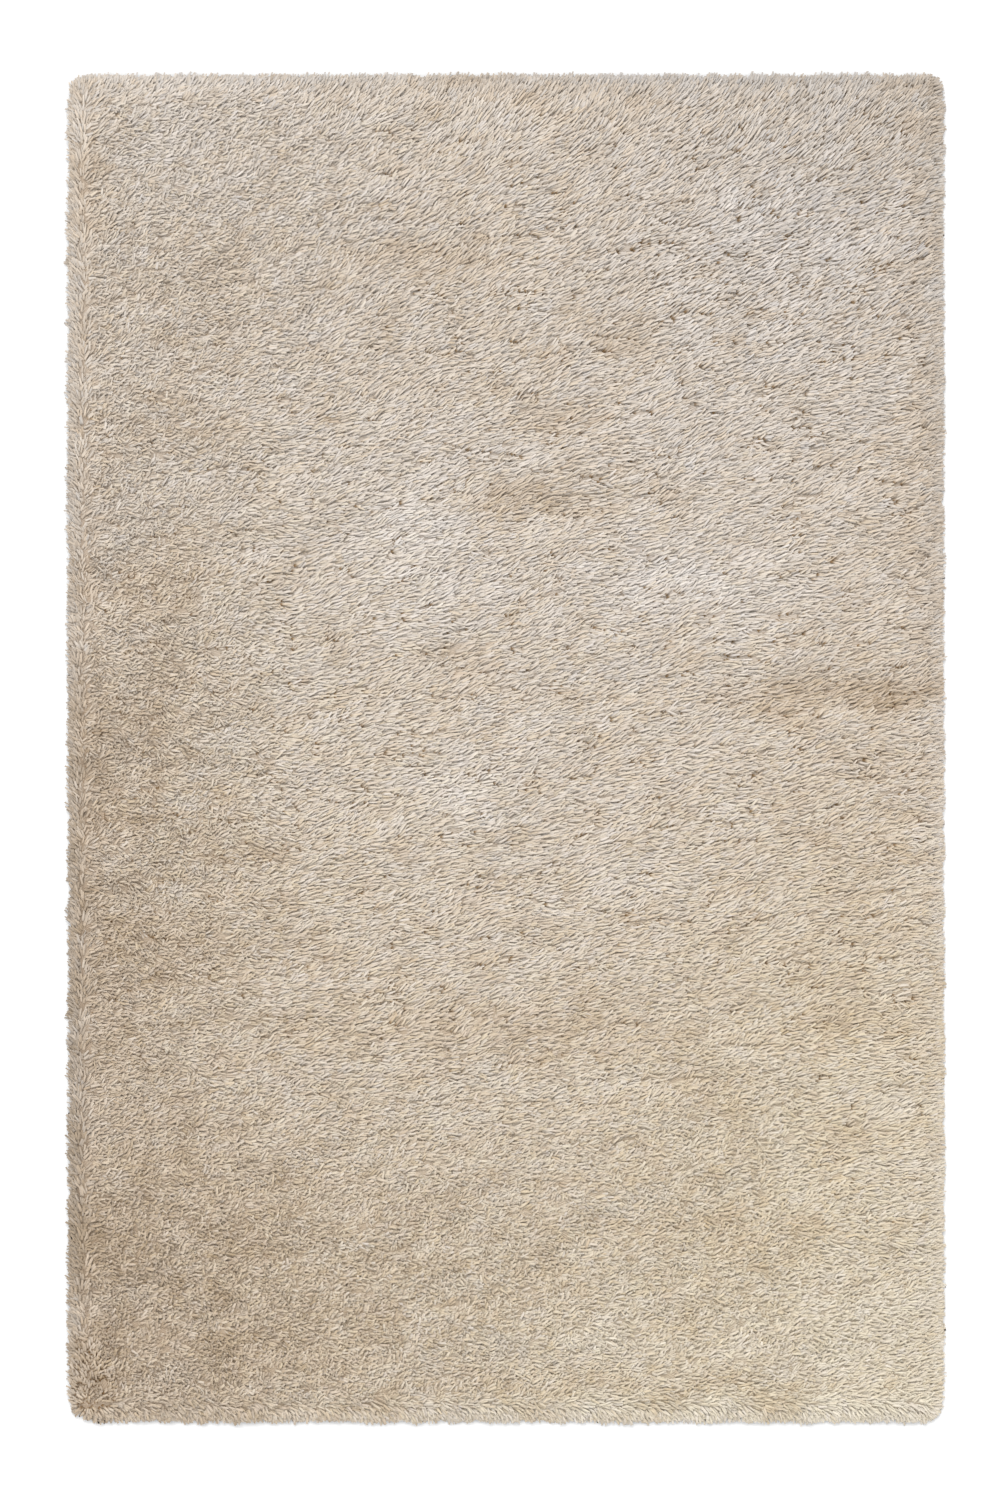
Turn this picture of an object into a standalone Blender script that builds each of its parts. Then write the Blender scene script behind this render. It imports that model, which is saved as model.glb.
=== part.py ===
"""Shag rug, 1.30 m by 2.00 m, tufted in one piece from long yarn.

The pile is a lumpy slab with a flat underside. It is parted in places, it rolls off towards its rim,
and the yarns of the rim fall outwards in locks that lie on the floor. The rug's width runs along X, its
length along Y, and Z = 0 is the floor. Sizes are in metres and angles in degrees.
"""

import math
import random
from collections import namedtuple

import bmesh
import bpy
from mathutils import Matrix, Vector, noise

# Overall sizes, to the tips of the locks
RUG_WIDTH = 1.30
RUG_LENGTH = 2.00
PILE_HEIGHT = 0.035

# The slab's rim is this far inside the tips of the longest locks
LOCK_REACH = 0.017
SLAB_HALF_X = RUG_WIDTH / 2 - LOCK_REACH
SLAB_HALF_Y = RUG_LENGTH / 2 - LOCK_REACH
CORNER_RADIUS = 0.034

# The cells of the slab's top, with narrower ones along the rim
CELLS_ACROSS = 42
CELLS_ALONG = 62
RIM_CELL = 0.016

# From this far in from the rim, points stray by up to STRAY, and every other row is set over by
# this share of a cell
EVEN_RIM = 0.060
ROW_SHIFT = 0.5
STRAY = 0.009
STRAY_SIZE = 0.037

# Lumps of the top: clumps of yarn, which are longer across the rug, on broad swells
FULL_HEIGHT = 0.028
CLUMP_ACROSS = 0.085
CLUMP_ALONG = 0.055
CLUMP_RISE = 0.0110
SWELL_SIZE = 0.34
SWELL_RISE = 0.0035

# The top rolls off from its full height to the rim's over this width, and the rim stands over a
# foot that is a little smaller
RIM_HEIGHT = 0.021
RIM_LUMPS = 0.35
ROLL_OFF = 0.045
FOOT_INSET = 0.003

# The outline steps in by up to this much, with a bump every so far
OUTLINE_WAVER = 0.0022
OUTLINE_BUMP = 0.045

# Where the pile is parted down towards its roots. Each parting is a soft trough about its middle
Parting = namedtuple("Parting", "x y length heading width depth")
PARTINGS = (
    Parting(x=0.445, y=0.086, length=0.36, heading=1, width=0.026, depth=0.0110),
    Parting(x=0.150, y=0.105, length=0.26, heading=4, width=0.024, depth=0.0055),
    Parting(x=0.030, y=0.375, length=0.30, heading=-20, width=0.024, depth=0.0075),
    Parting(x=-0.060, y=0.724, length=0.34, heading=5, width=0.030, depth=0.0080),
    Parting(x=0.150, y=0.600, length=0.16, heading=-12, width=0.026, depth=0.0075),
    Parting(x=0.067, y=0.490, length=0.20, heading=8, width=0.024, depth=0.0065),
    Parting(x=-0.171, y=0.887, length=0.34, heading=1, width=0.024, depth=0.0060),
    Parting(x=-0.330, y=-0.045, length=0.30, heading=-8, width=0.024, depth=0.0075),
    Parting(x=-0.450, y=-0.140, length=0.22, heading=-5, width=0.024, depth=0.0075),
    Parting(x=0.240, y=-0.395, length=0.40, heading=-3, width=0.026, depth=0.0075),
    Parting(x=0.530, y=-0.404, length=0.14, heading=-22, width=0.024, depth=0.0085),
    Parting(x=-0.110, y=-0.380, length=0.44, heading=4, width=0.024, depth=0.0065),
    Parting(x=0.289, y=-0.500, length=0.14, heading=-25, width=0.024, depth=0.0075),
    Parting(x=0.520, y=-0.560, length=0.14, heading=-28, width=0.024, depth=0.0075),
    Parting(x=-0.482, y=-0.537, length=0.22, heading=-6, width=0.024, depth=0.0080),
    Parting(x=0.360, y=-0.745, length=0.34, heading=-6, width=0.026, depth=0.0075),
    Parting(x=0.230, y=-0.841, length=0.16, heading=-18, width=0.024, depth=0.0070),
    Parting(x=-0.500, y=-0.840, length=0.24, heading=2, width=0.026, depth=0.0085),
    Parting(x=-0.570, y=0.240, length=0.22, heading=80, width=0.030, depth=0.0070),
    Parting(x=-0.560, y=-0.020, length=0.20, heading=75, width=0.034, depth=0.0090),
    Parting(x=-0.549, y=-0.315, length=0.26, heading=84, width=0.030, depth=0.0075),
)
PARTING_FADES_AT = 0.55
PARTING_WAVER = 0.010
PARTING_WAVE = 0.16

# A lock grows from one face of the slab's wall. Its rings are at shares of its reach, and are
# shares of the face's width and height
Ring = namedtuple("Ring", "reach wide high")
LOCK_RINGS = (
    Ring(reach=0.58, wide=0.84, high=0.76),
    Ring(reach=1.00, wide=0.28, high=0.26),
)
LEAST_REACH = 0.72
MOST_REACH = 1.00
STRAIGHT_SHARE = 0.25
LIFTED_TIP_EVERY = 3
TIP_LIFT = 0.005

# How far the pile on each side leans from straight out, anticlockwise seen from above
Side = namedtuple("Side", "outward lean spread")
SIDES = (
    Side(outward=(1, 0), lean=14, spread=10),
    Side(outward=(0, 1), lean=-20, spread=8),
    Side(outward=(-1, 0), lean=-24, spread=8),
    Side(outward=(0, -1), lean=0, spread=14),
)
ALONG_SIDE = 0.98

# Edges that turn by more than this stay sharp
SHARP_OVER = 45

YARN_COLOUR = (0.56, 0.47, 0.37)
YARN_ROUGHNESS = 0.9

SEED = 8


def clear_scene():
    for old in list(bpy.data.objects):
        bpy.data.objects.remove(old, do_unlink=True)


def smooth_step(low, high, value):
    share = min(max((value - low) / (high - low), 0.0), 1.0)
    return share * share * (3.0 - 2.0 * share)


def edge_distance(x, y):
    """How far a point of the slab lies in from the nearest side."""
    return min(SLAB_HALF_X - abs(x), SLAB_HALF_Y - abs(y))


def parting_depth(x, y):
    """How far the pile is parted at a point. Where two partings cross, the deeper one counts."""
    deepest = 0.0
    for parting in PARTINGS:
        turn = math.radians(parting.heading)
        out_x = x - parting.x
        out_y = y - parting.y
        along = out_x * math.cos(turn) + out_y * math.sin(turn)
        across = out_y * math.cos(turn) - out_x * math.sin(turn)
        across += PARTING_WAVER * math.sin(math.tau * along / PARTING_WAVE)
        fade = 1.0 - smooth_step(PARTING_FADES_AT, 1.0, abs(along) / (parting.length / 2))
        trough = math.exp(-((across / parting.width) ** 2))
        deepest = max(deepest, parting.depth * fade * trough)
    return deepest


def pile_top(x, y):
    """The height of the pile at a point, before the tallest lump is brought to PILE_HEIGHT."""
    clump = CLUMP_RISE * noise.noise(Vector((x / CLUMP_ACROSS, y / CLUMP_ALONG, 0.0)))
    swell = SWELL_RISE * noise.noise(Vector((x / SWELL_SIZE, y / SWELL_SIZE, 1.0)))
    full = FULL_HEIGHT + clump + swell - parting_depth(x, y)
    rim = RIM_HEIGHT + RIM_LUMPS * clump
    roll = math.sin(math.pi / 2 * min(edge_distance(x, y) / ROLL_OFF, 1.0))
    return rim + (full - rim) * roll


def grid_line(step, cells, half):
    """The place of a grid line, with the outer cell on each side made RIM_CELL wide."""
    if step == 0 or step == cells:
        return math.copysign(half, step - cells / 2)
    inner_half = half - RIM_CELL
    return inner_half * (2 * (step - 1) / (cells - 2) - 1.0)


def stray(x, y, row):
    """Moves a point away from its grid line, the more the further it lies in from the rim."""
    share = smooth_step(0.0, EVEN_RIM, edge_distance(x, y))
    drift = noise.noise_vector(Vector((x, y, 3.0)) / STRAY_SIZE)
    shift = (row % 2 - 0.5) * ROW_SHIFT * 2 * SLAB_HALF_X / CELLS_ACROSS
    return x + share * (shift + STRAY * drift.x), y + share * STRAY * drift.y


def round_corner(x, y):
    """Moves a point of the square at each corner so that the square's outer corner is an arc."""
    out_x = (abs(x) - SLAB_HALF_X) / CORNER_RADIUS + 1.0
    out_y = (abs(y) - SLAB_HALF_Y) / CORNER_RADIUS + 1.0
    if out_x <= 0.0 or out_y <= 0.0:
        return x, y
    round_x = out_x * math.sqrt(1.0 - out_y * out_y / 2)
    round_y = out_y * math.sqrt(1.0 - out_x * out_x / 2)
    new_x = SLAB_HALF_X + (round_x - 1.0) * CORNER_RADIUS
    new_y = SLAB_HALF_Y + (round_y - 1.0) * CORNER_RADIUS
    return math.copysign(new_x, x), math.copysign(new_y, y)


def make_top(bm):
    """The slab's lumpy top, as an open grid with an uneven outline."""
    bmesh.ops.create_grid(bm, x_segments=CELLS_ACROSS, y_segments=CELLS_ALONG, size=1.0)
    for vert in bm.verts:
        column = round((vert.co.x + 1.0) / 2 * CELLS_ACROSS)
        row = round((vert.co.y + 1.0) / 2 * CELLS_ALONG)
        x = grid_line(column, CELLS_ACROSS, SLAB_HALF_X)
        y = grid_line(row, CELLS_ALONG, SLAB_HALF_Y)
        x, y = stray(x, y, row)
        height = pile_top(x, y)
        inset = OUTLINE_WAVER * (0.5 + 0.5 * noise.noise(Vector((x, y, 2.0)) / OUTLINE_BUMP))
        x, y = round_corner(x, y)
        if vert.is_boundary:
            x *= 1.0 - inset / SLAB_HALF_X
            y *= 1.0 - inset / SLAB_HALF_Y
        vert.co = (x, y, height)
    tallest = max(vert.co.z for vert in bm.verts)
    for vert in bm.verts:
        vert.co.z *= PILE_HEIGHT / tallest


def make_wall_and_foot(bm):
    """Takes the rim down to the floor and closes the flat underside. Returns the wall's faces."""
    rim = [edge for edge in bm.edges if edge.is_boundary]
    made = bmesh.ops.extrude_edge_only(bm, edges=rim)["geom"]
    for item in made:
        if isinstance(item, bmesh.types.BMVert):
            item.co.x *= 1.0 - FOOT_INSET / SLAB_HALF_X
            item.co.y *= 1.0 - FOOT_INSET / SLAB_HALF_Y
            item.co.z = 0.0
    foot = [edge for edge in bm.edges if edge.is_boundary]
    bmesh.ops.contextual_create(bm, geom=foot)
    bmesh.ops.recalc_face_normals(bm, faces=bm.faces[:])
    bm.normal_update()
    return [item for item in made if isinstance(item, bmesh.types.BMFace)]


def side_under(face):
    """The row of SIDES that a face of the wall belongs to, or None at a corner."""
    for side in SIDES:
        if face.normal.xy.normalized().dot(Vector(side.outward)) > ALONG_SIDE:
            return side
    return None


def lock_path(middle, side, outward, chance):
    """A lock's heading, as a unit vector, and its reach. A straight lock comes out to full size."""
    reach = LOCK_REACH * chance.uniform(LEAST_REACH, MOST_REACH)
    spread_share = chance.uniform(-1.0, 1.0)
    is_straight = chance.random() < STRAIGHT_SHARE
    if side is None:
        return outward, reach
    if is_straight:
        full_half = RUG_WIDTH / 2 if side.outward[0] else RUG_LENGTH / 2
        return outward, full_half - middle.dot(outward)
    yaw = math.radians(side.lean + side.spread * spread_share)
    return Matrix.Rotation(yaw, 3, "Z") @ outward, reach


def make_locks(bm, wall):
    """Draws each face of the wall out into a lock, whose lower edge lies on the floor."""
    chance = random.Random(SEED)
    wall.sort(key=lambda face: math.atan2(*face.calc_center_median().yx))
    for count, face in enumerate(wall):
        root = [vert.co.copy() for vert in face.verts]
        middle = face.calc_center_median()
        side = side_under(face)
        outward = Vector((*(side.outward if side else face.normal.xy.normalized()), 0.0))
        heading, reach = lock_path(middle, side, outward, chance)
        sideways = Vector((-outward.y, outward.x, 0.0))
        for ring in LOCK_RINGS:
            face = bmesh.ops.extrude_discrete_faces(bm, faces=[face])["faces"][0]
            is_lifted = ring is LOCK_RINGS[-1] and count % LIFTED_TIP_EVERY == 0
            for vert, start in zip(face.verts, root):
                off_middle = sideways.dot(start - middle) * ring.wide
                place = middle + sideways * off_middle + heading * (reach * ring.reach)
                lift = TIP_LIFT if is_lifted else 0.0
                vert.co = (place.x, place.y, lift + start.z * ring.high)


def make_yarn():
    """Matt beige pile yarn."""
    yarn = bpy.data.materials.new("beige pile yarn")
    yarn.use_nodes = True
    shader = yarn.node_tree.nodes["Principled BSDF"]
    shader.inputs["Base Color"].default_value = (*YARN_COLOUR, 1.0)
    shader.inputs["Roughness"].default_value = YARN_ROUGHNESS
    shader.inputs["Metallic"].default_value = 0.0
    return yarn


def make_rug():
    """The whole rug as one closed body."""
    bm = bmesh.new()
    make_top(bm)
    wall = make_wall_and_foot(bm)
    make_locks(bm, wall)
    mesh = bpy.data.meshes.new("shag_rug")
    bm.to_mesh(mesh)
    bm.free()
    mesh.materials.append(make_yarn())
    mesh.shade_smooth()
    mesh.set_sharp_from_angle(angle=math.radians(SHARP_OVER))
    rug = bpy.data.objects.new("shag_rug", mesh)
    collection = bpy.data.collections.new("shag rug")
    bpy.context.scene.collection.children.link(collection)
    collection.objects.link(rug)


clear_scene()
make_rug()
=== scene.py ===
import math
import random

import bmesh
import bpy
import numpy as np
from mathutils import Matrix, Vector, noise
from mathutils.bvhtree import BVHTree


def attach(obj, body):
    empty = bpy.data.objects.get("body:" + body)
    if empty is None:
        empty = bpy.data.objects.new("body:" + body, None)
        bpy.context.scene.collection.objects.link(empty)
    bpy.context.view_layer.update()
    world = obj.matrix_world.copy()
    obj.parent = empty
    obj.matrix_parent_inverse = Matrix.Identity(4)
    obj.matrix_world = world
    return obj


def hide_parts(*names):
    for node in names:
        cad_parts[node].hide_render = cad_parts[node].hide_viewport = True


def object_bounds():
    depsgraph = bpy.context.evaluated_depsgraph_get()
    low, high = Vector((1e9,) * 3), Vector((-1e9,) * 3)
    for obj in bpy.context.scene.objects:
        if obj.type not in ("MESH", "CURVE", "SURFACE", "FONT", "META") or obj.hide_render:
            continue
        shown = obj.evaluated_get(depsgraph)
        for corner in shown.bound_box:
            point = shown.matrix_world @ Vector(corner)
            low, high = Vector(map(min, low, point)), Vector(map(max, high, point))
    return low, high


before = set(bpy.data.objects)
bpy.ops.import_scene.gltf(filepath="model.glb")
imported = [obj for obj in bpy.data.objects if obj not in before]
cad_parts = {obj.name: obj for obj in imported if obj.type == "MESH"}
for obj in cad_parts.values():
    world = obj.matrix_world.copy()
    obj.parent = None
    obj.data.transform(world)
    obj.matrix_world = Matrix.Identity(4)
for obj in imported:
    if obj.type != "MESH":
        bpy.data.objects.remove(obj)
cadLow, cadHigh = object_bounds()
print("frame loaded", tuple(round(side, 3) for side in cadHigh - cadLow))

# The lie of the pile. Each row is a soft patch: its middle and half sizes in metres, where the yarn tips head
# (degrees, 0 is +X), how far they lie over from upright, how much they stray, how long and wide they are
# against the rest, how open the pile is, which sets how much painted shade darkens its roots, and how much
# it is parted
pileLie = {
    "heading": 18, "lean": 73, "stray": 0.24, "yarn": 1.0, "wide": 1.0, "open": 0.77, "parted": 0.9,
    "swing": 20, "swingAcross": 0.10, "swingAlong": 0.07, "nod": 9, "nodSize": 0.05,
    "fill": 1.25,  # past 1, the middle of a patch takes its row in full
    "rows": [
        # x, y, halfX, halfY, heading, lean, stray, yarn, wide, open, parted
        (0.00, 0.78, 0.90, 0.16, 32, 70, 0.20, 1.05, 1.0, 0.82, 0.8),
        (0.10, 0.98, 0.70, 0.07, 52, 68, 0.14, 1.10, 1.0, 0.86, 0.2),
        (0.46, 0.93, 0.28, 0.09, 48, 68, 0.12, 1.10, 1.0, 0.96, 0.2),
        (0.42, 0.72, 0.30, 0.15, 26, 71, 0.18, 1.0, 1.0, 0.93, 0.7),
        (-0.44, 0.78, 0.26, 0.26, 21, 58, 0.46, 0.9, 1.05, 0.58, 0.7),
        (-0.56, 0.30, 0.12, 0.60, 20, 54, 0.56, 0.85, 1.0, 0.68, 0.8),
        (-0.52, -0.10, 0.16, 0.45, 8, 52, 0.58, 0.85, 1.0, 0.76, 0.9),
        (-0.42, -0.82, 0.40, 0.28, 22, 45, 0.64, 0.85, 1.15, 0.30, 0.8),
        (-0.05, -0.80, 0.22, 0.16, 30, 45, 0.62, 0.85, 1.15, 0.30, 1.0),
        (0.42, -0.72, 0.34, 0.32, 25, 48, 0.58, 0.85, 1.15, 0.30, 1.2),
        (-0.62, -0.93, 0.07, 0.09, 60, 50, 0.60, 0.9, 1.1, 1.00, 1.0),
        (0.55, -0.30, 0.14, 0.50, 15, 70, 0.30, 1.0, 1.0, 0.75, 1.0),
    ],
}

# Where the partings run uphill to the right instead of straight across: middle, half sizes and slope
partingSlopes = [
    (0.42, -0.58, 0.34, 0.36, 0.46),
    (0.00, 0.00, 0.50, 0.35, -0.14),
    (0.40, 0.70, 0.40, 0.25, 0.30),
]

# At the rim each side has its own heading, length of yarn and raggedness, which the pile turns to over a
# narrow width. Two sides blend at a corner, from a little before its arc
rimLie = {
    "right": (14, 0.66, 0.30), "top": (60, 0.56, 0.30),
    "left": (135, 0.60, 0.35), "bottom": (-66, 0.62, 0.60),
    "turn": 0.030, "droop": 92, "shorten": 0.026, "raggedSize": 0.013, "beforeCorner": 0.01,
}

# Warm and cool areas of the pile: middle and half sizes in metres, then how far the tint moves. Below 0 is
# cooler and paler, above 0 is warmer and deeper. The areas are partly the yarn's own tone and partly painted
# light and shade: paler cool patches stand in for sheen where the pile lies flat, warmer deeper ones for
# shade where it stands up and shows its depth, and the narrow rows along the rims paint light and shade on
# the rim
pileTintAndShade = {
    "base": 0.34, "waver": 0.035, "waverSize": 0.09,
    "mottle": 0.14, "mottleAcross": 0.075, "mottleAlong": 0.030, "fineShare": 0.5, "fineness": 2.3,
    "rows": [
        (-0.645, -0.100, 0.070, 1.100, 0.23),
        (-0.650, -0.300, 0.026, 0.700, 0.12),
        (-0.585, 0.020, 0.030, 0.450, -0.08),
        (-0.580, -0.150, 0.030, 0.150, -0.05),
        (-0.535, 0.080, 0.025, 0.090, 0.06),
        (-0.640, 0.900, 0.025, 0.140, 0.12),
        (-0.655, -0.780, 0.026, 0.300, 0.15),
        (-0.350, -0.300, 0.160, 0.060, 0.07),
        (0.648, 0.600, 0.020, 0.350, 0.04),
        (0.620, 0.600, 0.030, 0.450, 0.11),
        (0.595, 0.320, 0.030, 0.120, 0.07),
        (0.610, 0.950, 0.080, 0.080, 0.12),
        (0.550, 0.992, 0.120, 0.020, 0.14),
        (0.480, -0.050, 0.090, 0.380, 0.11),
        (-0.050, 0.985, 0.080, 0.024, 0.17),
        (0.120, -0.890, 0.220, 0.030, -0.13),
        (-0.100, -0.968, 0.250, 0.020, 0.10),
        (0.420, -0.965, 0.140, 0.025, 0.10),
        (0.645, -0.180, 0.020, 0.150, -0.08),
        (0.000, -0.250, 0.700, 0.180, 0.05),
        (0.600, 0.350, 0.080, 0.300, 0.05),
        (-0.350, -0.990, 0.300, 0.030, 0.12),
        (0.050, 0.965, 0.300, 0.022, 0.08),
        (-0.400, 0.992, 0.200, 0.016, 0.08),
        (-0.600, -0.500, 0.200, 0.700, 0.16),
        (0.000, -0.550, 0.900, 0.600, 0.03),
        (-0.620, -0.800, 0.140, 0.200, 0.05),
        (0.200, -0.985, 0.550, 0.022, -0.16),
        (0.000, 0.990, 0.700, 0.028, 0.07),
        (0.340, 0.600, 0.250, 0.250, -0.05),
        (-0.520, 0.780, 0.200, 0.400, -0.10),
        (0.600, -0.050, 0.100, 0.350, 0.06),
        (0.450, -0.980, 0.400, 0.030, -0.21),
        (0.560, -0.880, 0.160, 0.120, -0.08),
        (0.200, -0.720, 0.450, 0.200, 0.03),
        (-0.100, 0.550, 0.350, 0.400, 0.05),
        (-0.475, 0.690, 0.110, 0.130, 0.20),
        (-0.482, 0.480, 0.110, 0.040, 0.18),
        (-0.500, 0.242, 0.100, 0.045, 0.20),
        (-0.560, 0.000, 0.080, 0.160, 0.16),
        (-0.408, -0.144, 0.060, 0.030, 0.18),
        (-0.542, -0.300, 0.080, 0.060, 0.16),
        (-0.420, -0.780, 0.300, 0.240, 0.23),
        (-0.386, -0.900, 0.120, 0.040, 0.14),
        (0.520, -0.780, 0.200, 0.300, -0.16),
        (-0.104, 0.724, 0.120, 0.028, 0.26),
        (0.156, 0.604, 0.060, 0.028, 0.22),
        (0.067, 0.494, 0.080, 0.026, 0.22),
        (0.037, 0.362, 0.100, 0.026, 0.32),
        (-0.082, 0.123, 0.080, 0.026, 0.20),
        (0.470, 0.075, 0.190, 0.022, 0.30),
        (-0.015, -0.418, 0.300, 0.045, 0.22),
        (0.527, -0.411, 0.070, 0.026, 0.15),
        (0.289, -0.508, 0.070, 0.026, 0.12),
        (0.527, -0.582, 0.070, 0.026, 0.20),
        (0.423, -0.723, 0.190, 0.045, 0.18),
        (0.289, -0.960, 0.240, 0.026, 0.18),
        (-0.141, 0.310, 0.120, 0.130, -0.24),
        (0.245, 0.249, 0.140, 0.045, -0.20),
        (0.400, 0.760, 0.130, 0.060, -0.11),
        (0.380, 0.220, 0.240, 0.060, -0.08),
        (-0.612, -0.585, 0.035, 0.050, -0.22),
        (-0.570, -0.835, 0.050, 0.050, -0.12),
        (-0.635, 0.800, 0.025, 0.150, 0.10),
        (-0.020, 0.972, 0.060, 0.022, 0.10),
        (0.200, 0.915, 0.060, 0.030, 0.08),
        (0.467, -0.374, 0.100, 0.060, 0.06),
        (0.600, 0.080, 0.080, 0.028, 0.14),
        (-0.082, -0.062, 0.085, 0.060, -0.20),
        (0.171, -0.203, 0.070, 0.045, -0.18),
        (0.156, -0.841, 0.060, 0.045, -0.18),
    ],
}

# A faint cast over the tint: 0 is greyer and darker, 0.5 has none, 1 is yellower. The grey rows along the
# rims and over the head's right corner are painted shade, where the light falls off
pileCastAndShade = {
    "base": 0.47,
    "rows": [
        (0.000, -0.560, 0.850, 0.540, 0.09),
        (0.460, 0.860, 0.280, 0.340, -0.17),
        (0.200, 0.995, 0.550, 0.028, -0.42),
        (0.600, 0.980, 0.160, 0.120, -0.06),
        (-0.400, 0.997, 0.250, 0.016, -0.25),
        (0.300, -0.970, 0.400, 0.030, 0.16),
        (0.600, -0.930, 0.120, 0.120, 0.14),
        (-0.645, 0.100, 0.024, 1.000, -0.34),
        (-0.645, -0.600, 0.026, 0.400, -0.34),
        (-0.560, -0.850, 0.160, 0.200, -0.06),
        (0.650, 0.400, 0.040, 0.600, -0.14),
        (-0.250, -0.150, 0.250, 0.500, 0.08),
        (0.500, -0.580, 0.360, 0.480, 0.30),
        (0.000, -0.850, 0.800, 0.300, 0.12),
        (0.200, -0.900, 0.400, 0.150, 0.10),
        (-0.450, 0.000, 0.120, 0.500, 0.06),
    ],
}

# Every pattern of the bed is read from one noise, each at a height of its own, so that no two are alike
noiseHeights = {
    "clumps": 3.0, "driftX": 4.0, "driftY": 4.6, "swing": 5.0, "mottle": 7.0, "nod": 9.0, "ragged": 11.0,
}


def smoothStep(low, high, value):
    share = min(max((value - low) / (high - low), 0.0), 1.0)
    return share * share * (3.0 - 2.0 * share)


def patchShare(x, y, row):
    return math.exp(-(((x - row[0]) / row[2]) ** 2 + ((y - row[1]) / row[3]) ** 2))


def tintAndShadeAt(x, y):
    # the patches have ragged edges, and the whole pile is lightly mottled across its width
    driftX, driftY = (
        noise.noise(Vector((x, y, noiseHeights[name])) / pileTintAndShade["waverSize"]) * pileTintAndShade["waver"]
        for name in ("driftX", "driftY")
    )
    tint = sum(row[4] * patchShare(x + driftX, y + driftY, row) for row in pileTintAndShade["rows"])
    place = Vector((x / pileTintAndShade["mottleAcross"], y / pileTintAndShade["mottleAlong"], noiseHeights["mottle"]))
    fine = pileTintAndShade["fineShare"] * noise.noise(place * pileTintAndShade["fineness"])
    return pileTintAndShade["base"] + tint + pileTintAndShade["mottle"] * (noise.noise(place) + fine)


def castAndShadeAt(x, y):
    return pileCastAndShade["base"] + sum(row[4] * patchShare(x, y, row) for row in pileCastAndShade["rows"])


# The bed that the yarns stand in: a closed form a little below the pile's surface, in the same lumps. The
# surface is read a little further in than each point, so that the bed's rim still finds it
bedSizes = {
    "inset": 0.010, "cell": 0.0105, "sink": 0.0065, "rimHeight": 0.0055, "roll": 0.036, "floor": 0.0016,
    "clumpRise": 0.0028, "clumpAcross": 0.026, "clumpAlong": 0.015,
    "average": 0.012, "readShareX": 0.985, "readShareY": 0.99,
    "corners": {(-1, 1): 0.020, (1, 1): 0.010, (-1, -1): 0.034, (1, -1): 0.018},
    "inner": 0.70, "outer": 0.62, "shadeBand": 0.045, "rimBand": 0.016, "partingBand": 0.035,
}
bedValues = ("stray", "yarn", "wide", "open", "parted", "rim", "shaded", "slide", "tint", "cast")
bedHalfX = cadHigh.x - bedSizes["inset"]
bedHalfY = cadHigh.y - bedSizes["inset"]


def cadSurface(name):
    # the CAD node's mesh is loose triangles, so a merged copy is searched and the node is left alone
    bm = bmesh.new()
    bm.from_mesh(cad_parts[name].data)
    bmesh.ops.remove_doubles(bm, verts=bm.verts[:], dist=1e-5)
    tree = BVHTree.FromBMesh(bm)
    bm.free()
    return tree


def topHeight(surface, x, y):
    # the mean of a few nearby heights rounds off the edges between the CAD faces
    total = count = 0
    step = bedSizes["average"]
    for offX, offY in ((0, 0), (step, 0), (-step, 0), (0, step), (0, -step)):
        hit = surface.ray_cast(Vector((x + offX, y + offY, 1.0)), Vector((0, 0, -1)))[0]
        if hit is not None:
            total += hit.z
            count += 1
    return total / max(count, 1)


def cornerRadius(x, y):
    return bedSizes["corners"][(1 if x > 0 else -1, 1 if y > 0 else -1)]


def rimDistance(x, y):
    # how far inside the bed's rounded outline a point is
    inX, inY = bedHalfX - abs(x), bedHalfY - abs(y)
    radius = cornerRadius(x, y)
    if inX < radius and inY < radius:
        return radius - math.hypot(radius - inX, radius - inY)
    return min(inX, inY)


def roundedCorner(x, y):
    # each corner has its own radius: a square patch of the grid is pressed into an arc
    radius = cornerRadius(x, y)
    outX = (abs(x) - bedHalfX) / radius + 1.0
    outY = (abs(y) - bedHalfY) / radius + 1.0
    if outX <= 0.0 or outY <= 0.0:
        return x, y
    newX = bedHalfX + (outX * math.sqrt(1.0 - outY * outY / 2) - 1.0) * radius
    newY = bedHalfY + (outY * math.sqrt(1.0 - outX * outX / 2) - 1.0) * radius
    return math.copysign(newX, x), math.copysign(newY, y)


def headingVector(degrees):
    return Vector((math.cos(math.radians(degrees)), math.sin(math.radians(degrees)), 0.0))


def lieAt(x, y):
    # blends the rows over each other, then lets the heading swing and the lean nod from clump to clump
    way = headingVector(pileLie["heading"])
    lie = {name: pileLie[name] for name in ("lean", "stray", "yarn", "wide", "open", "parted")}
    for row in pileLie["rows"]:
        share = min(1.0, pileLie["fill"] * patchShare(x, y, row))
        way = way.lerp(headingVector(row[4]), share)
        for name, value in zip(lie, row[5:]):
            lie[name] += (value - lie[name]) * share
    place = Vector((x / pileLie["swingAcross"], y / pileLie["swingAlong"], noiseHeights["swing"]))
    swing = pileLie["swing"] * noise.noise(place)
    lie["lean"] += pileLie["nod"] * noise.noise(Vector((x, y, noiseHeights["nod"])) / pileLie["nodSize"])
    way = Matrix.Rotation(math.radians(swing), 3, "Z") @ way.normalized()
    return way, lie


def slideAt(x, y):
    # how far the partings' pattern is slid along Y, which tilts them
    return sum(-row[4] * (x - row[0]) * patchShare(x, y, row) for row in partingSlopes)


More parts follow.
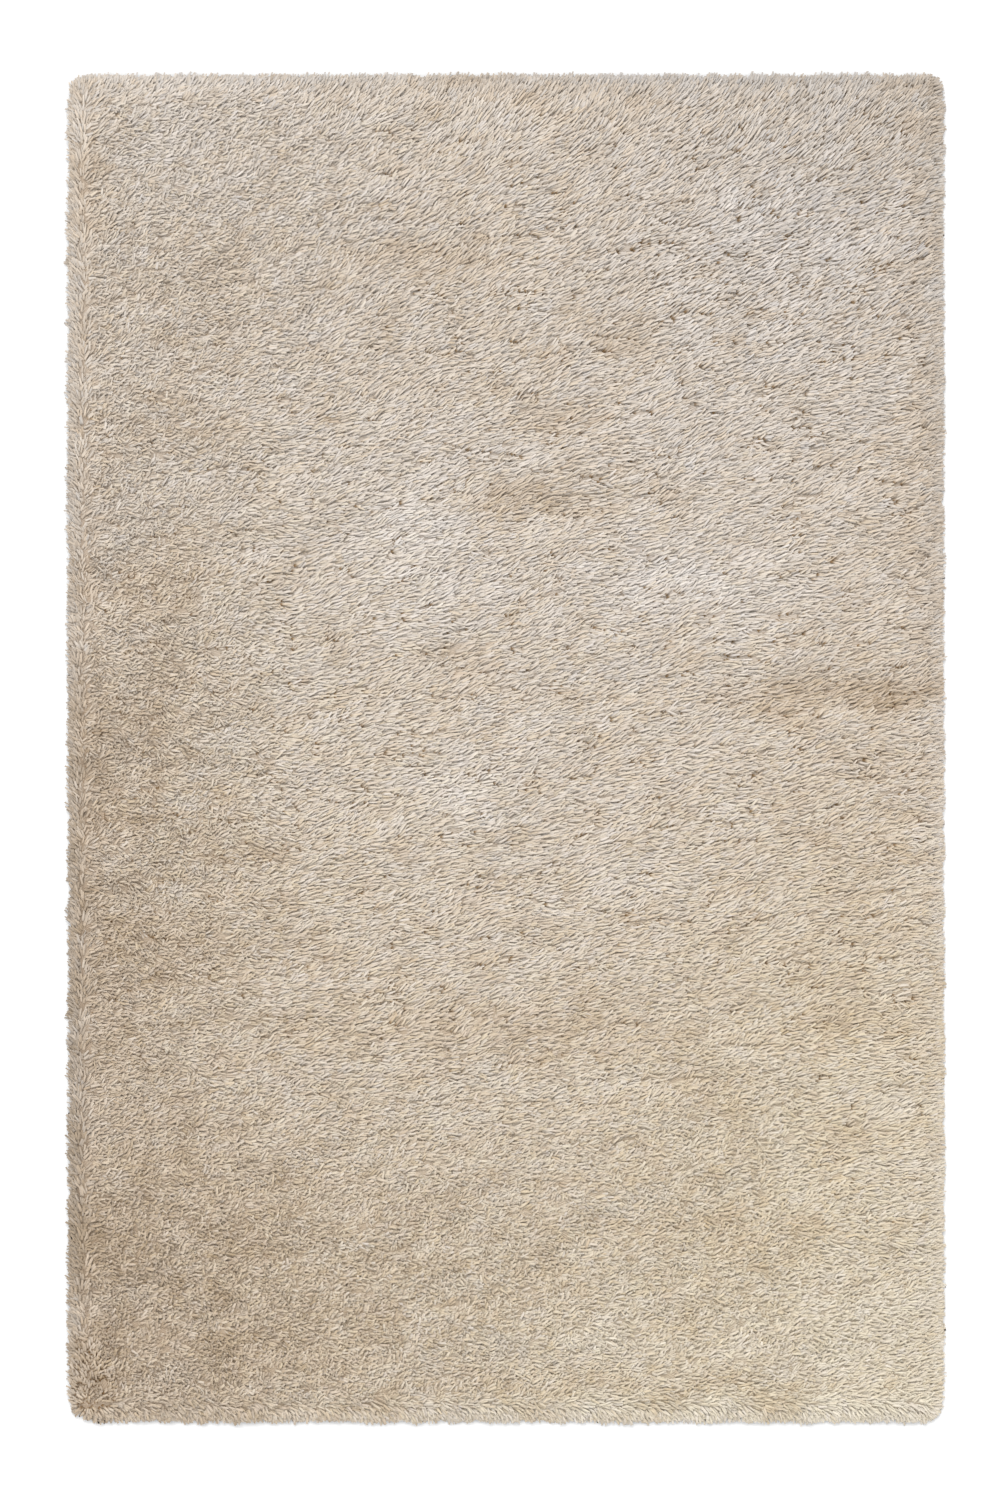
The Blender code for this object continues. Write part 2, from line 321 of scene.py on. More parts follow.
def rimFall(x, y):
    # how the yarns fall at the rim: as the nearest side has them, or between two sides at a corner
    blend = cornerRadius(x, y) + rimLie["beforeCorner"]
    outX = smoothStep(blend, 0.0, bedHalfX - abs(x))
    outY = smoothStep(blend, 0.0, bedHalfY - abs(y)) + 1e-6  # so that the two never add up to 0
    sideX, longX, raggedX = rimLie["right" if x > 0 else "left"]
    sideY, longY, raggedY = rimLie["top" if y > 0 else "bottom"]
    way = headingVector(sideX) * outX + headingVector(sideY) * outY
    long = (longX * outX + longY * outY) / (outX + outY)
    ragged = (raggedX * outX + raggedY * outY) / (outX + outY)
    varied = noise.noise(Vector((x, y, noiseHeights["ragged"])) / rimLie["raggedSize"])
    return way.normalized(), long * (1.0 + ragged * varied)


def growAt(x, y, isWall):
    # the lie, turned to the rim's own where a point is near the rim
    way, lie = lieAt(x, y)
    outward, long = rimFall(x, y)
    turned = 1.0 if isWall else smoothStep(rimLie["turn"], 0.0, rimDistance(x, y))
    way = way.lerp(outward, turned).normalized()
    lean = math.radians(lie["lean"] + (rimLie["droop"] - lie["lean"]) * turned)
    shortened = 1.0 if isWall else smoothStep(rimLie["shorten"], 0.0, rimDistance(x, y))
    lie["yarn"] += (long - lie["yarn"]) * shortened
    return way * math.sin(lean) + Vector((0, 0, math.cos(lean))), lie


def closeBelow(bm, floor):
    # walls down from a sheet's edge and an underside, face by face and in one order, so that each run gives
    # the same mesh and the yarns root in the same places
    nextOf = {}
    for edge in bm.edges:
        if edge.is_boundary:
            corner = edge.link_loops[0]
            nextOf[corner.vert] = corner.link_loop_next.vert
    rim = [min(nextOf, key=lambda vert: vert.index)]
    while nextOf[rim[-1]] is not rim[0]:
        rim.append(nextOf[rim[-1]])
    foot = [bm.verts.new((vert.co.x, vert.co.y, floor)) for vert in rim]
    for number in range(len(rim)):
        bm.faces.new((rim[number], rim[number - 1], foot[number - 1], foot[number]))
    bm.faces.new(foot[::-1])
    return set(foot)


def objectFrom(bm, name):
    mesh = bpy.data.meshes.new(name)
    bm.to_mesh(mesh)
    bm.free()
    piece = bpy.data.objects.new(name, mesh)
    bpy.context.scene.collection.objects.link(piece)
    return piece


def makeBed():
    surface = cadSurface("shag_rug")
    bm = bmesh.new()
    across = round(2 * bedHalfX / bedSizes["cell"])
    along = round(2 * bedHalfY / bedSizes["cell"])
    bmesh.ops.create_grid(bm, x_segments=across, y_segments=along, size=1.0)
    for vert in bm.verts:
        x, y = vert.co.x * bedHalfX, vert.co.y * bedHalfY
        rise = math.sin(math.pi / 2 * min(min(bedHalfX - abs(x), bedHalfY - abs(y)) / bedSizes["roll"], 1.0))
        top = topHeight(surface, x * bedSizes["readShareX"], y * bedSizes["readShareY"]) - bedSizes["sink"]
        place = Vector((x / bedSizes["clumpAcross"], y / bedSizes["clumpAlong"], noiseHeights["clumps"]))
        top += bedSizes["clumpRise"] * noise.noise(place)
        x, y = roundedCorner(x, y)
        vert.co = (x, y, bedSizes["rimHeight"] + (top - bedSizes["rimHeight"]) * rise)
    foot = closeBelow(bm, bedSizes["floor"])
    growLayer = bm.verts.layers.float_vector.new("grow")
    layers = {name: bm.verts.layers.float.new(name) for name in bedValues}
    for vert in bm.verts:
        x, y = vert.co.x, vert.co.y
        vert[growLayer], values = growAt(x, y, vert in foot)
        inside = max(rimDistance(x, y), 0.0)
        values["rim"] = 1.0 - min(inside / bedSizes["rimBand"], 1.0)
        # the bed seen between the tufts is painted in shade, as the pile's depth lies in shadow, and darker
        # near the rim
        darker = smoothStep(bedSizes["shadeBand"], 0.0, inside)
        values["shaded"] = bedSizes["inner"] + (bedSizes["outer"] - bedSizes["inner"]) * darker
        values["parted"] *= smoothStep(0.0, bedSizes["partingBand"], inside)
        values["slide"] = slideAt(x, y)
        values["tint"] = tintAndShadeAt(x, y)
        values["cast"] = castAndShadeAt(x, y)
        for name, layer in layers.items():
            vert[layer] = values[name]
    bed = objectFrom(bm, "pile_bed")
    bed.data.shade_smooth()
    return bed


bed = makeBed()
print("pile bed made,", len(bed.data.polygons), "faces")

# One yarn end is a slim closed sliver: a root edge and a narrower tip edge that is twisted a little against
# it. A tuft is a few of them
tuftSizes = {
    "kinds": 10, "seed": 4, "yarns": 4, "length": 0.0170, "width": 0.0032, "tipShare": 0.62, "twist": 14,
    "spread": 0.0028, "jitter": 0.0012, "splay": 7, "aside": 0.25, "roll": 0.35,
    "lengths": (0.82, 1.18), "widths": (0.8, 1.2), "splays": (0.3, 1.2),
}


def addYarn(bm, chance, layers, number):
    shift = chance.uniform(-1.0, 1.0)
    length = tuftSizes["length"] * chance.uniform(*tuftSizes["lengths"])
    width = tuftSizes["width"] * chance.uniform(*tuftSizes["widths"])
    # the yarns of a tuft stand round its middle, so that the tufts cover the bed evenly
    turn = math.tau * (number + chance.uniform(-tuftSizes["aside"], tuftSizes["aside"])) / tuftSizes["yarns"]
    reach = tuftSizes["spread"] + chance.uniform(-1.0, 1.0) * tuftSizes["jitter"]
    root = Vector((reach * math.cos(turn), reach * math.sin(turn), 0.0))
    outward = Vector((-math.sin(turn), math.cos(turn), 0))
    splay = math.radians(tuftSizes["splay"]) * chance.uniform(*tuftSizes["splays"])
    splay = Matrix.Rotation(splay, 3, outward)
    roll = chance.uniform(-tuftSizes["roll"], tuftSizes["roll"])
    twist = math.radians(tuftSizes["twist"]) * chance.choice((-1, 1))
    verts = []
    for share, wide, angle in ((0.0, 1.0, roll), (1.0, tuftSizes["tipShare"], roll + twist)):
        for side in (-1, 1):
            # the sliver is flat across Y and grows up Z, so it lies flat once the tuft leans over towards +X
            across = Vector((math.sin(angle), math.cos(angle), 0)) * side * wide * width / 2
            vert = bm.verts.new(splay @ (Vector((0, 0, share * length)) + across) + root)
            for layer, value in zip(layers, (share, side, shift)):
                vert[layer] = value
            verts.append(vert)
    rootLeft, rootRight, tipLeft, tipRight = verts
    for corners in (
        (rootLeft, rootRight, tipLeft), (rootRight, tipRight, tipLeft),
        (rootLeft, tipRight, rootRight), (rootLeft, tipLeft, tipRight),
    ):
        bm.faces.new(corners)


def makeTuftKinds(yarn):
    kinds = bpy.data.collections.new("tuftKinds")
    chance = random.Random(tuftSizes["seed"])
    for number in range(tuftSizes["kinds"]):
        bm = bmesh.new()
        layers = [bm.verts.layers.float.new(name) for name in ("along", "side", "shift")]
        for yarnNumber in range(tuftSizes["yarns"]):
            addYarn(bm, chance, layers, yarnNumber)
        bmesh.ops.recalc_face_normals(bm, faces=bm.faces[:])
        mesh = bpy.data.meshes.new(f"tuft{number}")
        bm.to_mesh(mesh)
        bm.free()
        mesh.materials.append(yarn)
        mesh.shade_smooth()
        kinds.objects.link(bpy.data.objects.new(f"tuft{number}", mesh))
    return kinds


# The yarn's colours, along the tint from cool and pale to warm and deep
yarnFinish = {
    "tints": [
        (0.00, (0.82, 0.755, 0.69)),
        (0.15, (0.755, 0.68, 0.61)),
        (0.30, (0.725, 0.645, 0.560)),
        (0.50, (0.695, 0.590, 0.480)),
        (0.75, (0.60, 0.485, 0.37)),
        (1.00, (0.47, 0.36, 0.25)),
    ],
    "casts": [(0.0, (0.71, 0.745, 0.805)), (0.5, (0.96, 0.96, 0.96)), (1.0, (1.0, 0.98, 0.855))],
    # the root shade is painted shade: a yarn's lower part is darkened as the pile's depth lies in shadow
    "rootShade": (0.365, 0.27, 0.165), "rootEnds": 0.12, "tipStarts": 0.52,
    "roughness": 0.92, "specular": 0.2, "sheen": 0.10, "sheenRoughness": 0.5,
}


def feed(tree, socket, value):
    # a socket takes another node's output or a plain value
    if isinstance(value, bpy.types.NodeSocket):
        tree.links.new(value, socket)
    else:
        socket.default_value = value


def addNode(tree, kind, inputs=None, **settings):
    # the settings go first, because some of them decide which sockets a node has
    node = tree.nodes.new(kind)
    for name, value in settings.items():
        setattr(node, name, value)
    for name, value in (inputs or {}).items():
        feed(tree, node.inputs[name], value)
    return node


def mathNode(tree, operation, *values):
    return addNode(tree, "ShaderNodeMath", dict(enumerate(values)), operation=operation).outputs[0]


def colourRamp(tree, rows, value):
    ramp = addNode(tree, "ShaderNodeValToRGB", {"Fac": value})
    stops = ramp.color_ramp.elements
    while len(stops) < len(rows):
        stops.new(1.0)
    for stop, (position, colour) in zip(stops, rows):
        stop.position = position
        stop.color = (*colour, 1.0)
    return ramp.outputs["Color"]


def yarnColourGroup():
    # tint, cast and place along the yarn in, colour out. The pile and the bed both use it. Towards the root
    # the colour is multiplied by the root shade, painted shade for the depth of the pile
    group = bpy.data.node_groups.new("yarnColour", "ShaderNodeTree")
    for name in ("Tint", "Cast", "Along"):
        socket = group.interface.new_socket(name, in_out="INPUT", socket_type="NodeSocketFloat")
        socket.min_value, socket.max_value = 0.0, 1.0
    group.interface.new_socket("Root Shade", in_out="INPUT", socket_type="NodeSocketColor")
    group.interface.new_socket("Color", in_out="OUTPUT", socket_type="NodeSocketColor")
    inside = addNode(group, "NodeGroupInput").outputs
    cast = addNode(group, "ShaderNodeMix", {
        "Factor": 1.0,
        "A": colourRamp(group, yarnFinish["tints"], inside["Tint"]),
        "B": colourRamp(group, yarnFinish["casts"], inside["Cast"]),
    }, data_type="RGBA", blend_type="MULTIPLY")
    fade = addNode(group, "ShaderNodeMapRange", {
        "Value": inside["Along"], "From Min": yarnFinish["rootEnds"], "From Max": yarnFinish["tipStarts"],
        "To Min": 1.0, "To Max": 0.0,
    }, interpolation_type="SMOOTHSTEP")
    shaded = addNode(group, "ShaderNodeMix", {
        "Factor": fade.outputs["Result"], "A": cast.outputs["Result"], "B": inside["Root Shade"],
    }, data_type="RGBA", blend_type="MULTIPLY")
    addNode(group, "NodeGroupOutput", {"Color": shaded.outputs["Result"]})
    return group


def plainMaterial(name, finish):
    material = bpy.data.materials.new(name)
    material.use_nodes = True
    shader = material.node_tree.nodes["Principled BSDF"]
    shader.inputs["Roughness"].default_value = finish["roughness"]
    shader.inputs["Specular IOR Level"].default_value = finish["specular"]
    shader.inputs["Sheen Weight"].default_value = finish["sheen"]
    shader.inputs["Sheen Roughness"].default_value = finish["sheenRoughness"]
    return material, material.node_tree, shader


def attributeValue(tree, name):
    return addNode(tree, "ShaderNodeAttribute", attribute_name=name).outputs["Fac"]


def paintPile(tree, shader, colourGroup, rootShade, along):
    colour = addNode(tree, "ShaderNodeGroup", {
        "Tint": attributeValue(tree, "tint"), "Cast": attributeValue(tree, "cast"), "Along": along,
        "Root Shade": (*rootShade, 1.0),
    }, node_tree=colourGroup)
    tree.links.new(colour.outputs["Color"], shader.inputs["Base Color"])


def addBump(tree, shader, height, finish):
    bump = addNode(tree, "ShaderNodeBump", {
        "Strength": finish["bump"], "Distance": finish["bumpDeep"], "Height": height,
    })
    tree.links.new(bump.outputs["Normal"], shader.inputs["Normal"])


def yarnMaterial(colourGroup):
    material, tree, shader = plainMaterial("pile yarn", yarnFinish)
    paintPile(tree, shader, colourGroup, yarnFinish["rootShade"], attributeValue(tree, "along"))
    return material


# Between the tufts the bed shows the yarns that lie under them, as fine streaks along the lie. It is painted
# in shade: the streaks' low parts take the root shade, as the gaps between those yarns lie in shadow
bedFinish = {
    "streaksPerMetre": 150.0, "streaksInEach": 2.6,
    "streakLow": -0.20, "streakHigh": 1.20, "streakShade": 0.9,
    "rootShade": (0.38, 0.27, 0.17), "bump": 0.5, "bumpDeep": 0.0015,
}


def bedMaterial(colourGroup):
    material, tree, shader = plainMaterial("pile bed", yarnFinish)
    grow = addNode(tree, "ShaderNodeAttribute", attribute_name="grow").outputs["Vector"]
    lie = addNode(tree, "ShaderNodeSeparateXYZ", {0: grow}).outputs
    heading = mathNode(tree, "ARCTAN2", lie["Y"], lie["X"])
    streaks = addNode(tree, "ShaderNodeTexGabor", {
        "Vector": addNode(tree, "ShaderNodeTexCoord").outputs["Object"],
        "Orientation": mathNode(tree, "ADD", heading, math.pi / 2), "Anisotropy": 1.0,
        "Scale": bedFinish["streaksPerMetre"], "Frequency": bedFinish["streaksInEach"],
    }, gabor_type="2D")
    spread = addNode(tree, "ShaderNodeMapRange", {
        "Value": streaks.outputs["Value"],
        "From Min": bedFinish["streakLow"], "From Max": bedFinish["streakHigh"],
    }).outputs["Result"]
    # painted shade: the streaks' low parts take the root shade, and the bed's shaded value darkens all of it
    lit = mathNode(tree, "MULTIPLY_ADD", spread, bedFinish["streakShade"], 1.0 - bedFinish["streakShade"])
    along = mathNode(tree, "MULTIPLY", lit, attributeValue(tree, "shaded"))
    paintPile(tree, shader, colourGroup, bedFinish["rootShade"], along)
    addBump(tree, shader, spread, bedFinish)
    return material


# The pile itself: tufts set over the bed, pulled together in clumps, in bands along the rug's length
pileSizes = {
    "Gap": 0.0047, "Most Per Area": 90000.0, "Seed": 3, "Least Facing": -0.4, "Least Rim": -1.0,
    "Clump Across": 0.026, "Clump Along": 0.013, "Pull": 0.14,
    "Parting Across": 0.085, "Parting Along": 0.027, "Parting Width": 0.0060, "Parting Gap": 0.0018,
    # the partings are painted in shade: roots darker and the tint warmer and deeper along them than away from
    # them
    "Parting Open": 0.15, "Parting Shade": 0.28, "Parting Lean": 1.0, "Parting Tint": 0.12,
    "Parting Step": 0.001,
    "Chain Across": 0.050, "Chain Along": 0.030, "Chain Starts": 0.45, "Chain Full": 0.60,
    "Yarn Length": 0.022, "Shortest": 0.80, "Longest": 1.15, "Root Depth": 0.0006, "Floor Height": 0.0035,
    "Clump Stray": 0.22, "Least Rise": 0.15,
    "Cast Steps": 8.0, "Cast Spread": 0.14, "Tint Spread": 0.12, "Yarn Tint": 0.12, "Clump Tint": 0.08,
}
# The rim has more and closer tufts, which hide the bed's wall from the side
rimSizes = {"Gap": 0.0031, "Least Rim": 0.50, "Parting Gap": 0.0, "Pull": 0.30, "Seed": 7}
# How far a tuft and a clump may stray each way, how far a tuft's flat side turns along the lie from straight
# down, where the chains' pattern starts, and what is added to the seed for each use
pileForm = {
    "stray": (1.0, 1.0, 0.6), "clumpStray": (1.0, 1.0, 0.5), "droop": 0.3, "chainShift": (7.3, 2.1, 0.0),
    "seeds": {"size": 2, "stray": 8, "tint": 18, "step": 21, "cast": 25},
}
pileBands = {"count": 6, "reach": 1.1}
pileShading = {"ownShare": 0.34, "upward": 1.5}


def buildPileTree():
    tree = bpy.data.node_groups.new("growPile", "GeometryNodeTree")
    sizeKinds = {name: "Int" if isinstance(value, int) else "Float" for name, value in pileSizes.items()}
    bandKinds = {"Low End": "Float", "High End": "Float", "Tufts": "Collection", "Yarn": "Material"}
    for name, kind in {"Geometry": "Geometry", **sizeKinds, **bandKinds}.items():
        tree.interface.new_socket(name, in_out="INPUT", socket_type="NodeSocket" + kind)
    tree.interface.new_socket("Geometry", in_out="OUTPUT", socket_type="NodeSocketGeometry")
    sizes = addNode(tree, "NodeGroupInput").outputs

    def number(operation, *values):
        return mathNode(tree, operation, *values)

    def vector(operation, first, second):
        inputs = {0: first, 1: second}
        return addNode(tree, "ShaderNodeVectorMath", inputs, operation=operation).outputs["Vector"]

    def scaled(value, scale):
        inputs = {0: value, "Scale": scale}
        return addNode(tree, "ShaderNodeVectorMath", inputs, operation="SCALE").outputs["Vector"]

    def vectorOf(x, y, z):
        return addNode(tree, "ShaderNodeCombineXYZ", {"X": x, "Y": y, "Z": z}).outputs[0]

    def partsOf(value):
        return addNode(tree, "ShaderNodeSeparateXYZ", {0: value}).outputs

    def named(name, kind="FLOAT"):
        node = addNode(tree, "GeometryNodeInputNamedAttribute", {"Name": name}, data_type=kind)
        return node.outputs["Attribute"]

    def stored(geometry, name, value, kind="FLOAT"):
        inputs = {"Geometry": geometry, "Name": name, "Value": value}
        node = addNode(tree, "GeometryNodeStoreNamedAttribute", inputs, data_type=kind, domain="POINT")
        return node.outputs[0]

    def chanceOf(use, low, high):
        # a number between two numbers, or a vector between two vectors
        kind = "FLOAT_VECTOR" if isinstance(low, tuple) else "FLOAT"
        seed = number("ADD", sizes["Seed"], float(pileForm["seeds"][use]))
        inputs = {"Min": low, "Max": high, "Seed": seed}
        return addNode(tree, "FunctionNodeRandomValue", inputs, data_type=kind).outputs["Value"]

    def compared(operation, first, second):
        inputs = {"A": first, "B": second}
        node = addNode(tree, "FunctionNodeCompare", inputs, data_type="FLOAT", operation=operation)
        return node.outputs[0]

    def anyOf(first, *others):
        for other in others:
            either = addNode(tree, "FunctionNodeBooleanMath", {0: first, 1: other}, operation="OR")
            first = either.outputs[0]
        return first

    def stretchedNoise(at, across, along):
        stretched = vector("DIVIDE", at, vectorOf(sizes[across], sizes[along], 1.0))
        inputs = {"Vector": stretched, "Scale": 1.0, "Detail": 1.0}
        return addNode(tree, "ShaderNodeTexNoise", inputs, noise_dimensions="2D").outputs["Fac"]

    def partingLevel(at):
        return number("SUBTRACT", stretchedNoise(at, "Parting Across", "Parting Along"), 0.5)

    # roots all over the bed's top and wall, but not underneath
    up = partsOf(addNode(tree, "GeometryNodeInputNormal").outputs[0])["Z"]
    roots = addNode(tree, "GeometryNodeDistributePointsOnFaces", {
        "Mesh": sizes["Geometry"], "Selection": compared("GREATER_THAN", up, sizes["Least Facing"]),
        "Distance Min": sizes["Gap"], "Density Max": sizes["Most Per Area"], "Seed": sizes["Seed"],
    }, distribute_method="POISSON").outputs
    place = addNode(tree, "GeometryNodeInputPosition").outputs[0]
    parts = partsOf(place)
    flat = vector("MULTIPLY", place, (1.0, 1.0, 0.0))

    # fine partings run where a stretched noise passes its middle, in broken chains. How far above or below
    # one a tuft stands comes from the noise and its slope, and tufts lean away from it on both sides
    slid = vector("ADD", flat, vectorOf(0.0, named("slide"), 0.0))
    level = partingLevel(slid)
    above = partingLevel(vector("ADD", slid, vectorOf(0.0, sizes["Parting Step"], 0.0)))
    stepsAway = number("DIVIDE", level, number("SUBTRACT", above, level))
    away = number("MULTIPLY", stepsAway, sizes["Parting Step"])
    awayShare = number("DIVIDE", away, sizes["Parting Width"])
    fading = number("EXPONENT", number("MULTIPLY", number("MULTIPLY", awayShare, awayShare), -1.0))
    chain = addNode(tree, "ShaderNodeMapRange", {
        "Value": stretchedNoise(vector("ADD", flat, pileForm["chainShift"]), "Chain Across", "Chain Along"),
        "From Min": sizes["Chain Starts"], "From Max": sizes["Chain Full"],
    }, interpolation_type="SMOOTHSTEP").outputs["Result"]
    chainOpen = number("MULTIPLY", chain, named("parted"))
    part = number("MULTIPLY", fading, chainOpen)
    leanAway = number("MULTIPLY", number("MULTIPLY", awayShare, part), sizes["Parting Lean"])

    # a root is taken out where it is outside this band, too far in for the rim's own yarns, or in a parting
    gap = number("MULTIPLY", sizes["Parting Gap"], chainOpen)
    spare = anyOf(
        compared("LESS_THAN", parts["Y"], sizes["Low End"]),
        compared("GREATER_EQUAL", parts["Y"], sizes["High End"]),
        compared("LESS_THAN", named("rim"), sizes["Least Rim"]),
        compared("LESS_THAN", number("ABSOLUTE", away), gap),
    )
    inputs = {"Geometry": roots["Points"], "Selection": spare}
    points = addNode(tree, "GeometryNodeDeleteGeometry", inputs, domain="POINT").outputs[0]

    # clumps are the cells of a Voronoi pattern, longer across the rug
    cell = vectorOf(sizes["Clump Across"], sizes["Clump Along"], 1.0)
    inputs = {"Vector": vector("DIVIDE", flat, cell), "Scale": 1.0}
    clumps = addNode(tree, "ShaderNodeTexVoronoi", inputs, voronoi_dimensions="3D", feature="F1").outputs
    middle = vector("MULTIPLY", vector("MULTIPLY", clumps["Position"], cell), (1.0, 1.0, 0.0))
    pull = scaled(vector("SUBTRACT", middle, flat), sizes["Pull"])

    # each tuft grows along the lie, pulled to its clump and away from a parting, and strays a little
    grow = named("grow", "FLOAT_VECTOR")
    stray = chanceOf("stray", tuple(-side for side in pileForm["stray"]), pileForm["stray"])
    clumpStray = vector("SUBTRACT", clumps["Color"], (0.5, 0.5, 0.5))
    clumpStray = vector("MULTIPLY", clumpStray, pileForm["clumpStray"])
    way = vector("ADD", scaled(grow, sizes["Yarn Length"]), pull)
    for extra, size in ((stray, named("stray")), (clumpStray, sizes["Clump Stray"])):
        way = vector("ADD", way, scaled(extra, number("MULTIPLY", size, sizes["Yarn Length"])))
    way = vector("ADD", way, vectorOf(0.0, number("MULTIPLY", leanAway, sizes["Yarn Length"]), 0.0))

    # what would lie down into the bed, as at the rim's slope, is lifted clear of it
    inputs = {0: way, 1: roots["Normal"]}
    rising = addNode(tree, "ShaderNodeVectorMath", inputs, operation="DOT_PRODUCT").outputs["Value"]
    least = number("MULTIPLY", sizes["Least Rise"], sizes["Yarn Length"])
    lift = number("MAXIMUM", number("SUBTRACT", least, rising), 0.0)
    way = vector("ADD", way, scaled(roots["Normal"], lift))
    standing = addNode(tree, "FunctionNodeAlignRotationToVector", {"Vector": way}, axis="Z").outputs[0]
    down = vector("ADD", scaled(grow, pileForm["droop"]), (0.0, 0.0, -1.0))
    inputs = {"Rotation": standing, "Vector": down}
    turned = addNode(tree, "FunctionNodeAlignRotationToVector", inputs, axis="X", pivot_axis="Z").outputs[0]

    # its tint is the bed's, moved a little for the tuft and for the clump, and made warmer and deeper along a
    # parting as painted shade
    tint = number("MULTIPLY_ADD", chanceOf("tint", -1.0, 1.0), sizes["Tint Spread"], named("tint"))
    clumpTint = number("MULTIPLY_ADD", partsOf(clumps["Color"])["X"], 2.0, -1.0)
    tint = number("MULTIPLY_ADD", clumpTint, sizes["Clump Tint"], tint)
    tint = number("MULTIPLY_ADD", part, sizes["Parting Tint"], tint)

    # the cast goes in even steps, and chance settles which of two steps a tuft takes
    cast = number("MULTIPLY_ADD", chanceOf("cast", -1.0, 1.0), sizes["Cast Spread"], named("cast"))
    cast = number("MINIMUM", number("MAXIMUM", cast, 0.0), 1.0)
    step = number("FLOOR", number("MULTIPLY_ADD", cast, sizes["Cast Steps"], chanceOf("step", 0.0, 1.0)))

    # the roots take the most painted shade along the partings, where the pile opens
    closed = number("MULTIPLY", sizes["Parting Open"], number("SUBTRACT", 1.0, part))
    opened = number("MULTIPLY", named("open"), number("SUBTRACT", 1.0, closed))
    points = stored(points, "opened", number("MULTIPLY_ADD", part, sizes["Parting Shade"], opened))
    points = stored(points, "facing", roots["Normal"], "FLOAT_VECTOR")
    points = stored(points, "tint", tint)
    points = stored(points, "cast", number("DIVIDE", step, sizes["Cast Steps"]))

    # tufts of several kinds and sizes, rooted a little way down in the bed
    inputs = {"Geometry": points, "Offset": scaled((0.0, 0.0, -1.0), sizes["Root Depth"])}
    sunk = addNode(tree, "GeometryNodeSetPosition", inputs).outputs[0]
    size = chanceOf("size", sizes["Shortest"], sizes["Longest"])
    wider, longer = number("MULTIPLY", size, named("wide")), number("MULTIPLY", size, named("yarn"))
    inputs = {"Collection": sizes["Tufts"], "Separate Children": True, "Reset Children": True}
    kinds = addNode(tree, "GeometryNodeCollectionInfo", inputs).outputs[0]
    tufts = addNode(tree, "GeometryNodeInstanceOnPoints", {
        "Points": sunk, "Instance": kinds, "Pick Instance": True, "Rotation": turned,
        "Scale": vectorOf(wider, wider, longer),
    }).outputs[0]
    real = addNode(tree, "GeometryNodeRealizeInstances", {0: tufts}).outputs[0]

    # what would hang below the floor is eased up onto it
    low = number("SUBTRACT", number("DIVIDE", parts["Z"], sizes["Floor Height"]), 1.0)
    eased = number("MULTIPLY", number("EXPONENT", number("MINIMUM", low, 0.0)), sizes["Floor Height"])
    resting = vectorOf(parts["X"], parts["Y"], number("MAXIMUM", eased, parts["Z"]))
    inputs = {"Geometry": real, "Position": resting}
    yarns = addNode(tree, "GeometryNodeSetPosition", inputs).outputs[0]

    # the roots are painted darker as shade, hardly at all where the pile is closed. Each yarn has a tint of
    # its own
    fromTip = number("MULTIPLY", number("SUBTRACT", 1.0, named("along")), named("opened"))
    yarns = stored(yarns, "along", number("SUBTRACT", 1.0, fromTip))
    yarns = stored(yarns, "tint", number("MULTIPLY_ADD", named("shift"), sizes["Yarn Tint"], named("tint")))

    # of the bed's values a yarn keeps only the tint and the cast, which are the last two
    for name in ("grow", "opened", "shift", *bedValues[:-2]):
        yarns = addNode(tree, "GeometryNodeRemoveAttribute", {"Geometry": yarns, "Name": name}).outputs[0]
    painted = addNode(tree, "GeometryNodeSetMaterial", {"Geometry": yarns, "Material": sizes["Yarn"]})
    addNode(tree, "NodeGroupOutput", {"Geometry": painted.outputs[0]})
    return tree


def softenShading(mesh):
    # light passes from yarn to yarn, so a yarn's normals lean towards those of the bed that it stands on
    own = np.zeros(len(mesh.vertices) * 3, np.float32)
    mesh.vertices.foreach_get("normal", own)
    bedWay = np.zeros(len(own), np.float32)
    mesh.attributes["facing"].data.foreach_get("vector", bedWay)
    share = pileShading["ownShare"]
    bedWay = bedWay.reshape(-1, 3) + (0.0, 0.0, pileShading["upward"])
    bedWay /= np.linalg.norm(bedWay, axis=1)[:, None]
    normals = own.reshape(-1, 3) * share + bedWay * (1.0 - share)
    normals /= np.linalg.norm(normals, axis=1)[:, None]
    mesh.attributes.remove(mesh.attributes["facing"])
    mesh.normals_split_custom_set_from_vertices(normals)


def pointValues(mesh, name):
    values = np.zeros(len(mesh.vertices), np.float32)
    mesh.attributes[name].data.foreach_get("value", values)
    return values


# A yarn's colour follows from its tint, its cast step and the place along it, so the UV map is a small chart
# of those: a column for each cast step, the tint across the column and the place along the yarn up it
chartSizes = {"tintWidth": 0.92, "yarnWidth": 0.025, "left": 0.04, "height": 0.96, "bottom": 0.02}


def mapColours(mesh):
    columns = pileSizes["Cast Steps"] + 1.0
    across = np.clip(pointValues(mesh, "tint"), 0.0, 1.0) * chartSizes["tintWidth"]
    across = across + pointValues(mesh, "side") * chartSizes["yarnWidth"] + chartSizes["left"]
    chart = np.stack((
        (np.round(pointValues(mesh, "cast") * (columns - 1.0)) + across) / columns,
        chartSizes["bottom"] + chartSizes["height"] * np.clip(pointValues(mesh, "along"), 0.0, 1.0),
    ), axis=1)
    corners = np.zeros(len(mesh.loops), np.int32)
    mesh.loops.foreach_get("vertex_index", corners)
    mesh.uv_layers.new(name="OFBake").uv.foreach_set("vector", chart[corners].astype(np.float32).ravel())
    mesh.attributes.remove(mesh.attributes["side"])


